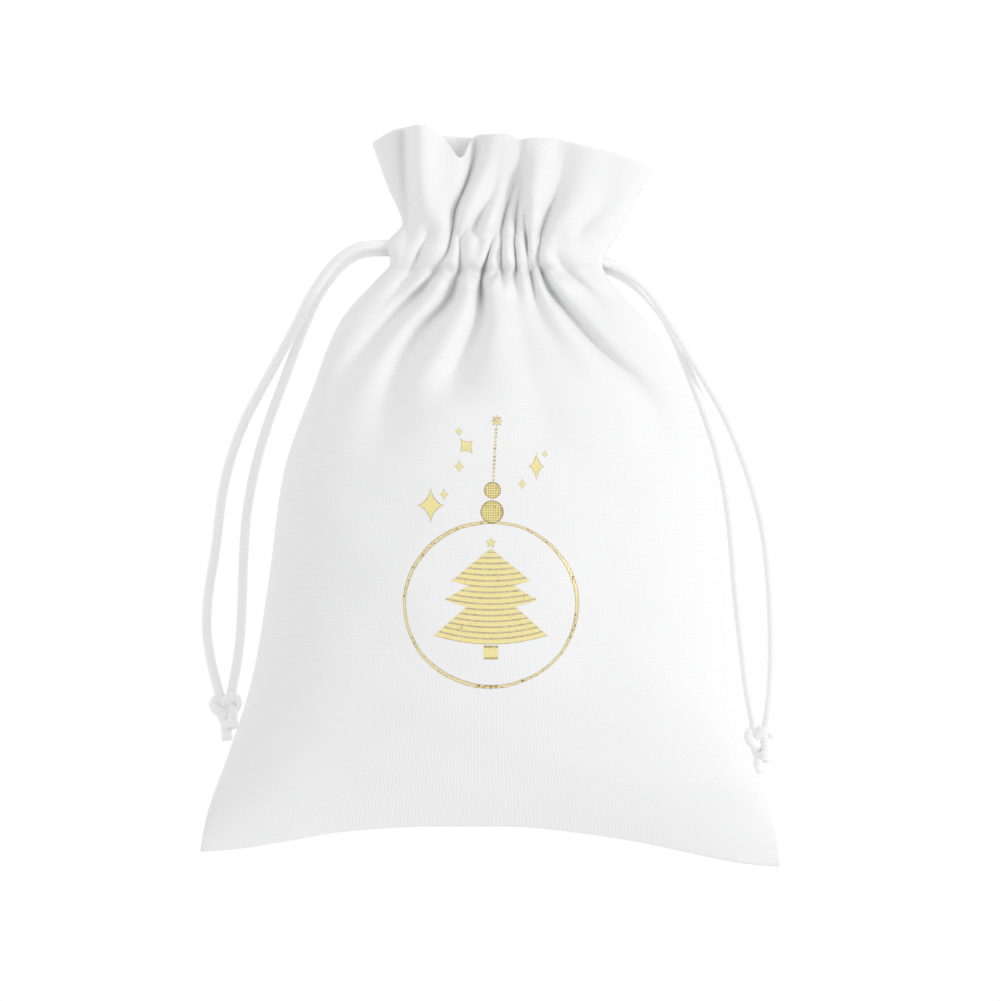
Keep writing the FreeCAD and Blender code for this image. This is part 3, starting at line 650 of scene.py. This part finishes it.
def knot(side, middle, heading, strand_ends):
    """A tight overhand knot: its loop, both strands going in and two cut tails."""
    turn = Matrix.Translation(Vector(middle) * MM) @ Matrix.Rotation(math.radians(heading), 4, "Z")
    snug = 0.97
    parts = [braid_tube("loop", tied_loop(turn), KNOT_CORD * MM, 22)]
    for sign, strand_end, tail_end in zip((-1, 1), strand_ends, TAIL_ENDS):
        mirror = Matrix.Diagonal((sign, 1, 1))
        inside = turn @ (mirror @ Vector(KNOT_ENTRY) * MM)
        entry = np.array([(Vector(strand_end) * MM).lerp(inside, k / 10)[:] for k in range(11)])
        parts.append(braid_tube("entry", entry, snug * CORD / 2 * MM, 22))
        bend = turn @ (mirror @ Vector(TAIL_BEND) * MM)
        tail = bent_line(inside, bend, turn @ (Vector(tail_end) * MM), 14)
        parts.append(cut_tube("tail", tail))
    obj = join(side + "_knot_tied", parts)
    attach(obj, side + "_loop")
    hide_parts(side + "_knot")
    return obj


def cut_tube(name, line):
    """A tail that swells a little at its cut and closes."""
    around = 20
    pace = 0.4 * MM
    bulge = 0.35 * MM
    radii = CORD / 2 * MM * (0.95 + 0.22 * np.linspace(0.0, 1.0, len(line)) ** 3)
    tangent, normal, binormal = frames_along(line)
    points, uv = [], []
    for j, place in enumerate(line):
        for i in range(around + 1):
            angle = 2 * math.pi * i / around
            points.append(beside(place, normal[j], binormal[j], angle, radii[j]))
            uv.append((angle * radii[j], j * pace))
    faces = grid_faces(len(line), around + 1, True)
    last = (len(line) - 1) * (around + 1)
    points.append(line[-1] + tangent[-1] * bulge)
    uv.append((0.0, len(line) * pace))
    faces.extend((last + i, len(points) - 1, last + i + 1) for i in range(around))
    return new_mesh(name, points, faces, uv)


# ---- stitches ----
def grid_at(points, s, t):
    """Point on a cloth grid at a flat place, and its outward normal for the front."""
    column = (s + HALF_CUT) / STEP + len(ALLOWANCES)
    row = t / STEP + len(ALLOWANCES)
    i = int(column)
    j = int(row)
    f = column - i
    g = row - j
    low = points[j, i] * (1 - f) + points[j, i + 1] * f
    high = points[j + 1, i] * (1 - f) + points[j + 1, i + 1] * f
    along = points[j, i + 1] - points[j, i]
    up = points[j + 1, i] - points[j, i]
    normal = np.cross(along, up)
    return low * (1 - g) + high * g, normal / np.linalg.norm(normal)


def stitch_row(name, points, side, t, lift, node):
    """Short stitches along one row of the channel, each bedded in the cloth at its ends."""
    verts, faces = [], []
    around = 6
    for s in np.arange(STITCH_PITCH - HALF_CUT, HALF_CUT - STITCH_PITCH, STITCH_PITCH):
        line = []
        for share in np.linspace(0.0, 1.0, 6):
            place, normal = grid_at(points, s + share * STITCH_LENGTH, t)
            line.append((place + normal * side * (lift + STITCH_BOW * math.sin(math.pi * share))) * MM)
        _, normal, binormal = frames_along(np.array(line))
        base = len(verts)
        for j, place in enumerate(line):
            for i in range(around):
                verts.append(beside(place, normal[j], binormal[j], 2 * math.pi * i / around, THREAD * MM))
        for j in range(len(line) - 1):
            for i in range(around):
                a = base + j * around + i
                b = base + j * around + (i + 1) % around
                faces.append((a, b, b + around, a + around))
        faces.append([base + i for i in range(around)][::-1])
        faces.append([base + (len(line) - 1) * around + i for i in range(around)])
    obj = new_mesh(name, verts, faces)
    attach(obj, "root")
    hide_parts(node)
    return obj


# ---- print ----
def surface_tree(obj):
    """A search tree over an object's finished surface."""
    depsgraph = bpy.context.evaluated_depsgraph_get()
    mesh = obj.evaluated_get(depsgraph).to_mesh()
    return BVHTree.FromPolygons([v.co.copy() for v in mesh.vertices], [p.vertices[:] for p in mesh.polygons])


def laid(name, tree, patches, lift, node):
    """Flat patches of points, each a grid in millimetres, laid on the cloth from above.

    A patch's first and last rows are its border, unless the first is drawn together to a middle.
    """
    high = 120 * MM
    drawn_together = 0.5
    points, faces, uv, border = [], [], [], []
    for patch in patches:
        rows, columns = patch.shape[:2]
        base = len(points)
        edge = np.zeros((rows, columns))
        edge[-1] = 1.0
        edge[0] = 1.0 if np.ptp(patch[0], axis=0).max() > drawn_together else 0.0
        border.extend(edge.ravel())
        for x, y in patch.reshape(-1, 2):
            hit, normal, _, _ = tree.ray_cast(Vector((x * MM, y * MM, high)), Vector((0, 0, -1)))
            points.append(hit + normal * lift * MM)
            uv.append((x * MM, y * MM))
        faces.extend([base + v for v in face] for face in grid_faces(rows, columns))
    obj = new_mesh(name, points, faces, uv)
    layer = obj.data.attributes.new("border", "FLOAT", "POINT")
    layer.data.foreach_set("value", np.array(border, dtype=np.float32))
    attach(obj, "root")
    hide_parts(node)
    return obj


def polar(x, y, outline, rings, steps):
    """A patch round a middle; outline gives the distances along x and y to its edge at an angle."""
    middle_hole = 0.02
    patch = np.empty((rings + 1, steps + 1, 2))
    for j in range(rings + 1):
        for i in range(steps + 1):
            angle = -2 * math.pi * i / steps
            reach_x, reach_y = outline(angle)
            share = middle_hole + (1 - middle_hole) * j / rings
            patch[j, i] = (x + reach_x * share, y + reach_y * share)
    return patch


def ring_patch():
    """The bauble's outline: a hand-drawn ring whose line varies in width."""
    x, y, half_width, half_height = RING
    steps = 240
    patch = np.empty((4, steps + 1, 2))
    for i in range(steps + 1):
        angle = -2 * math.pi * i / steps
        c = math.cos(angle)
        s = math.sin(angle)
        wobble = 0.05 * math.sin(7 * angle) + 0.03 * math.sin(17 * angle)
        line = RING_LINE * (1 + 0.18 * math.sin(3 * angle + 1))
        for j in range(4):
            out = -line / 2 + line * j / 3 + wobble
            patch[j, i] = (x + (half_width + out) * c, y + (half_height + out) * s)
    return patch


def disc(x, y, radius):
    return polar(x, y, lambda angle: (radius * math.cos(angle), radius * math.sin(angle)), 4, 28)


def chain():
    """Dots in a line between the cap and its star."""
    dots = []
    for k in range(CHAIN_DOTS):
        share = k / (CHAIN_DOTS - 1)
        x, y = (start + (end - start) * share for start, end in zip(CHAIN_START, CHAIN_END))
        dots.append(disc(x, y, CHAIN_DOT))
    return dots


def star(x, y, outer, inner, tips):
    """A star with pointed tips, the first one up."""
    def outline(angle):
        phase = ((angle - math.pi / 2) * tips / (2 * math.pi)) % 1.0
        share = abs(2 * phase - 1)
        radius = inner + (outer - inner) * share ** 1.3
        return radius * math.cos(angle), radius * math.sin(angle)
    return polar(x, y, outline, 4, 20 * tips)


def sparkle(x, y, half_width, half_height, lean=0.0):
    """A four-point star whose sides curve in."""
    def outline(angle):
        c = math.cos(angle)
        s = math.sin(angle)
        reach = (abs(c) ** (2 / 3) + abs(s) ** (2 / 3)) ** -1.5
        dx = reach * c * half_width
        dy = reach * s * half_height
        return dx * math.cos(lean) - dy * math.sin(lean), dx * math.sin(lean) + dy * math.cos(lean)
    return polar(x, y, outline, 5, 64)


def tree_half_width(y):
    """Half the fir's width at a height, from its profile."""
    for (top, top_half), (low, low_half) in zip(TREE_PROFILE, TREE_PROFILE[1:]):
        if low <= y <= top:
            return low_half + (top_half - low_half) * (y - low) / (top - low)
    return 0.0


def tree_patches():
    """The fir as slices between thin curved garlands."""
    patches = []
    top = TREE_PROFILE[0][0]
    bottom = TREE_PROFILE[-1][0]
    thinnest = 0.3
    level = bottom
    while level < top - thinnest:
        height = min(GARLAND_PITCH - GARLAND_GAP, top - level)
        patch = np.empty((5, 33, 2))
        for j, up in enumerate(np.linspace(0.0, height, 5)):
            for i, share in enumerate(np.linspace(-1.0, 1.0, 33)):
                y = level + up
                # x and the sag depend on each other, and settle within a few rounds
                for _ in range(4):
                    x = share * tree_half_width(min(max(y, bottom), top))
                    y = level + up + x * x / (2 * GARLAND_RADIUS)
                patch[j, i] = (TREE_X + x, y)
        patches.append(patch)
        level += GARLAND_PITCH
    return patches


def trunk_patch():
    half_width, low, high = TRUNK
    x = TREE_X + np.linspace(-half_width, half_width, 5)
    y = np.linspace(low, high, 4)
    return np.stack(np.meshgrid(x, y), axis=2)


# ---- materials ----
class Shader:
    """A node material, with short ways to add maths."""

    def __init__(self, name):
        self.material = bpy.data.materials.new(name)
        self.material.use_nodes = True
        self.tree = self.material.node_tree
        self.tree.nodes.clear()
        self.shader = self.tree.nodes.new("ShaderNodeBsdfPrincipled")
        output = self.tree.nodes.new("ShaderNodeOutputMaterial")
        self.link(self.shader.outputs[0], output.inputs[0])

    def link(self, source, target):
        self.tree.links.new(source, target)

    def feed(self, socket, value):
        """Set a socket to a number or a tuple, or link another node's output to it."""
        if isinstance(value, (int, float, tuple)):
            socket.default_value = value
        else:
            self.link(value, socket)

    def math(self, operation, a, b=0.0):
        node = self.tree.nodes.new("ShaderNodeMath")
        node.operation = operation
        self.feed(node.inputs[0], a)
        self.feed(node.inputs[1], b)
        return node.outputs[0]

    def times(self, a, b):
        return self.math("MULTIPLY", a, b)

    def plus(self, a, b):
        return self.math("ADD", a, b)

    def flat(self):
        """A piece's flat coordinates, as two numbers in metres."""
        node = self.tree.nodes.new("ShaderNodeUVMap")
        node.uv_map = "flat"
        split = self.tree.nodes.new("ShaderNodeSeparateXYZ")
        self.link(node.outputs[0], split.inputs[0])
        return split.outputs[0], split.outputs[1]

    def place(self):
        return self.tree.nodes.new("ShaderNodeTexCoord").outputs["Object"]

    def vector(self, x, y):
        node = self.tree.nodes.new("ShaderNodeCombineXYZ")
        self.feed(node.inputs[0], x)
        self.feed(node.inputs[1], y)
        return node.outputs[0]

    def noise(self, vector, scale, detail, rough=0.5):
        node = self.tree.nodes.new("ShaderNodeTexNoise")
        self.link(vector, node.inputs["Vector"])
        node.inputs["Scale"].default_value = scale
        node.inputs["Detail"].default_value = detail
        node.inputs["Roughness"].default_value = rough
        return node.outputs[0]

    def ramp(self, value, low, high, to_low=0.0, to_high=1.0):
        node = self.tree.nodes.new("ShaderNodeMapRange")
        node.clamp = True
        for socket, number in zip(node.inputs, (value, low, high, to_low, to_high)):
            self.feed(socket, number)
        return node.outputs[0]

    def blend(self, share, first, second):
        node = self.tree.nodes.new("ShaderNodeMix")
        node.data_type = "RGBA"
        self.feed(node.inputs[0], share)
        self.feed(node.inputs[6], (*first, 1.0) if isinstance(first, tuple) else first)
        self.feed(node.inputs[7], (*second, 1.0) if isinstance(second, tuple) else second)
        return node.outputs[2]

    def bump(self, height, distance, strength):
        node = self.tree.nodes.new("ShaderNodeBump")
        node.inputs["Strength"].default_value = strength
        node.inputs["Distance"].default_value = distance
        self.link(height, node.inputs["Height"])
        self.link(node.outputs[0], self.shader.inputs["Normal"])

    def set(self, **values):
        """Feed the surface shader's sockets, named with underscores, and give the finished material."""
        for name, value in values.items():
            self.feed(self.shader.inputs[name.replace("_", " ")], value)
        return self.material


def weave(sh):
    """Height of a plain weave, with a slow noise that makes its threads uneven."""
    u, v = sh.flat()
    pitch = WEAVE * MM
    drift = sh.noise(sh.vector(u, v), 260.0, 2.0)
    wander = sh.times(sh.math("SUBTRACT", drift, 0.5), 0.9)
    across = sh.plus(sh.times(u, math.pi / pitch), wander)
    along = sh.plus(sh.times(v, math.pi / pitch), wander)
    warp = sh.math("COSINE", across)
    weft = sh.math("COSINE", along)
    over = sh.times(warp, weft)
    up = sh.plus(sh.times(over, 0.5), 0.5)
    down = sh.math("SUBTRACT", 1.0, up)
    first = sh.times(sh.math("ABSOLUTE", warp), up)
    second = sh.times(sh.math("ABSOLUTE", weft), down)
    warp_noise = sh.noise(sh.vector(sh.times(u, 14.0), v), 120.0, 3.0)
    weft_noise = sh.noise(sh.vector(u, sh.times(v, 14.0)), 120.0, 3.0)
    warp_high = sh.times(first, sh.ramp(warp_noise, 0.3, 0.7, 0.75, 1.15))
    weft_high = sh.times(second, sh.ramp(weft_noise, 0.3, 0.7, 0.75, 1.15))
    return sh.math("MAXIMUM", warp_high, weft_high)


def slubs(sh):
    """Rare thicker bits of thread along both ways of the weave."""
    u, v = sh.flat()
    long_ways = sh.noise(sh.vector(sh.times(u, 9.0), v), 190.0, 1.0)
    cross_ways = sh.noise(sh.vector(u, sh.times(v, 9.0)), 170.0, 1.0)
    strong = sh.math("MAXIMUM", long_ways, cross_ways)
    return sh.ramp(strong, 0.74, 0.82)


def canvas_material():
    """Bleached cotton canvas: matt, with painted shade a little darker between its threads, and rare slubs.
    """
    light = (0.9, 0.9, 0.902)
    # painted shade for the hollows between the threads; light is the cloth's own colour
    dark = (0.83, 0.83, 0.835)
    sh = Shader("cotton_canvas")
    height = weave(sh)
    lumps = slubs(sh)
    # painted shade: the weave's hollows take the darker colour, its thread tops the lighter
    tone = sh.blend(sh.ramp(height, 0.1, 0.8), dark, light)
    cloud = sh.ramp(sh.noise(sh.place(), 22.0, 3.0), 0.35, 0.7)
    tone = sh.blend(sh.times(cloud, 0.25), tone, tuple(0.97 * c for c in light))
    relief = sh.plus(height, sh.times(lumps, 0.9))
    sh.bump(relief, 0.07 * MM, 0.5)
    return sh.set(Base_Color=tone, Roughness=0.88, Sheen_Weight=0.12, Sheen_Roughness=0.5,
                  Specular_IOR_Level=0.25)


def cord_material():
    """Bleached satin braid: bright along its filaments, with painted shade between the crossing plaits and
    painted highlight patches.
    """
    sh = Shader("satin_braid")
    u, v = sh.flat()
    round_it = sh.times(u, PLAITS / (CORD / 2 * MM))
    along_it = sh.times(v, 2 * math.pi / (BRAID * MM))
    one = sh.math("SINE", sh.plus(round_it, along_it))
    two = sh.math("SINE", sh.math("SUBTRACT", round_it, along_it))
    crossing = sh.ramp(sh.times(one, two), -0.9, 0.9)
    filament = sh.noise(sh.vector(sh.times(u, 6.0), v), 900.0, 2.0)
    # painted highlights: the braid is lighter in some patches and darker in others
    painted_highlight_patches = sh.ramp(sh.noise(sh.place(), 60.0, 2.0), 0.3, 0.7)
    # painted shade: darker in the grooves between the crossing plaits
    tone = sh.blend(crossing, (0.89, 0.89, 0.893), (0.95, 0.95, 0.95))
    tone = sh.blend(sh.times(painted_highlight_patches, 0.3), tone, (0.87, 0.87, 0.875))
    sh.bump(sh.plus(crossing, sh.times(filament, 0.5)), 0.07 * MM, 0.5)
    return sh.set(Base_Color=tone, Roughness=sh.ramp(filament, 0.3, 0.7, 0.3, 0.5), Sheen_Weight=0.2,
                  Specular_IOR_Level=0.55, Anisotropic=0.5)


def thread_material():
    """White sewing thread with a fine twist."""
    sh = Shader("sewing_thread")
    twist = sh.noise(sh.place(), 2600.0, 2.0)
    tone = sh.blend(twist, (0.78, 0.78, 0.79), (0.9, 0.9, 0.9))
    sh.bump(twist, 0.05 * MM, 0.6)
    return sh.set(Base_Color=tone, Roughness=0.55, Sheen_Weight=0.15)


def foil_material(name, light, dark, painted_speck_level, painted_shade_share):
    """Gold film on the weave: duller in its hollows as painted shade, with painted dark reflection specks and
    broken dark borders.

    The specks spread as cover goes down; hollow is the share of the colour left between the threads as
    painted shade.
    """
    sh = Shader(name)
    height = weave(sh)
    grain = sh.noise(sh.place(), 1500.0, 3.0, 0.7)
    patches = sh.noise(sh.place(), 260.0, 2.0)
    # painted reflection: dark specks scattered over the foil
    painted_reflection_specks = sh.plus(sh.times(grain, 0.7), sh.times(patches, 0.5))
    # painted shade: the hollows between the threads keep only a share of the foil's colour
    tone = sh.blend(sh.ramp(height, 0.15, 0.6), tuple(painted_shade_share * c for c in light), light)
    tone = sh.blend(sh.ramp(painted_reflection_specks, painted_speck_level, painted_speck_level + 0.1), tone, dark)
    border = sh.tree.nodes.new("ShaderNodeAttribute")
    border.attribute_name = "border"
    edge = sh.ramp(border.outputs["Fac"], 0.4, 0.9)
    rim = sh.times(edge, sh.ramp(grain, 0.35, 0.58, 0.35, 1.0))
    tone = sh.blend(rim, tone, (0.26, 0.17, 0.05))
    sh.bump(sh.plus(height, sh.times(grain, 0.6)), 0.07 * MM, 0.5)
    return sh.set(Base_Color=tone, Metallic=0.7, Roughness=sh.ramp(grain, 0.3, 0.7, 0.25, 0.45))


def wear(obj, material):
    """Give a piece its only material."""
    obj.data.materials.clear()
    obj.data.materials.append(material)


# ---- light and background ----
def make_light():
    """White light from all round, and a soft sun from the right."""
    world = bpy.data.worlds.new("world")
    bpy.context.scene.world = world
    world.use_nodes = True
    background = world.node_tree.nodes["Background"]
    background.inputs["Color"].default_value = (1.0, 1.0, 1.0, 1.0)
    background.inputs["Strength"].default_value = 0.86
    key = bpy.data.lights.new("key", "SUN")
    key.energy = 0.82
    key.angle = math.radians(16)
    lamp = bpy.data.objects.new("key", key)
    lamp.rotation_euler = Vector((-1.0, -0.12, -0.75)).to_track_quat("-Z", "Y").to_euler()
    bpy.context.scene.collection.objects.link(lamp)
    bpy.context.scene.view_settings.view_transform = "Standard"


def make_floor():
    """A plain white ground that glows, so that nothing casts a shadow on it."""
    half = 2.0
    low = -0.5 * MM
    corners = [(-half, -half, low), (half, -half, low), (half, half, low), (-half, half, low)]
    floor = new_mesh("floor", corners, [(0, 1, 2, 3)])
    material = bpy.data.materials.new("white_ground")
    material.use_nodes = True
    tree = material.node_tree
    tree.nodes.clear()
    glow = tree.nodes.new("ShaderNodeEmission")
    output = tree.nodes.new("ShaderNodeOutputMaterial")
    tree.links.new(glow.outputs[0], output.inputs[0])
    floor.data.materials.append(material)


# ---- the pouch ----
def make_cord(side, outer, inner, run, middle, heading, satin):
    """One drawstring: its knot, both free strands and the run inside the channels."""
    tied = knot(side, middle, heading, sorted([outer[-1], inner[-1]]))
    pieces = [
        tied,
        strand(side + "_outer_cord", outer, side + "_outer_strand"),
        strand(side + "_inner_cord", inner, side + "_inner_strand"),
        channel_run(side + "_cord_in_channel", run, side),
    ]
    for piece in pieces:
        wear(piece, satin)


def make_cloth(word, side, canvas, thread):
    """One cloth with its two rows of stitches."""
    piece, points = cloth_piece(side)
    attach(piece, "root")
    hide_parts(*[word + "_" + node for node in CLOTH_NODES], *SEAM_NODES[word])
    wear(piece, canvas)
    for level, t, lift in STITCH_ROWS:
        name = word + "_" + level
        row = stitch_row(name + "_thread", points, side, t, lift, name + "_stitches")
        wear(row, thread)
    return piece


def make_print(cloth):
    """A bauble on a chain, with a fir inside it and sparkles round it, as thin films on the cloth."""
    # each foil: its colour, the colour of its painted reflection specks, how far they spread, and the share
    # of its colour kept as painted shade in the weave's hollows
    gold = foil_material("gold_foil", (1.0, 0.88, 0.42), (0.45, 0.34, 0.08), painted_speck_level=0.74, painted_shade_share=0.88)
    broken = foil_material("broken_gold_foil", (1.0, 0.86, 0.48), (0.3, 0.2, 0.05), painted_speck_level=0.63, painted_shade_share=0.75)
    dotted = foil_material("dotted_gold_foil", (1.0, 0.87, 0.38), (0.3, 0.24, 0.05), painted_speck_level=0.68, painted_shade_share=0.38)
    surface = surface_tree(cloth)
    film = 0.05
    prints = [
        ("ring", [ring_patch()], film, broken),
        ("cap", [disc(*bead) for bead in CAP], film + 0.01, dotted),
        ("chain", chain(), film, broken),
        ("chain_star", [star(*CHAIN_STAR)], film, broken),
        ("tree", tree_patches() + [trunk_patch()], film, gold),
        ("tree_star", [star(*TREE_STAR)], film, gold),
        ("sparkles", [sparkle(*row) for row in SPARKLES], film, gold),
    ]
    for name, patches, lift, material in prints:
        wear(laid(name + "_print", surface, patches, lift, "foil_" + name), material)


make_camera()
cord_satin = cord_material()
make_cord("left", LEFT_OUTER, LEFT_INNER, LEFT_RUN, LEFT_KNOT, LEFT_HEADING, cord_satin)
make_cord("right", RIGHT_OUTER, RIGHT_INNER, RIGHT_RUN, RIGHT_KNOT, RIGHT_HEADING, cord_satin)
cotton = canvas_material()
sewing_thread = thread_material()
front_cloth = make_cloth("front", 1, cotton, sewing_thread)
make_cloth("back", -1, cotton, sewing_thread)
make_print(front_cloth)
make_light()
make_floor()
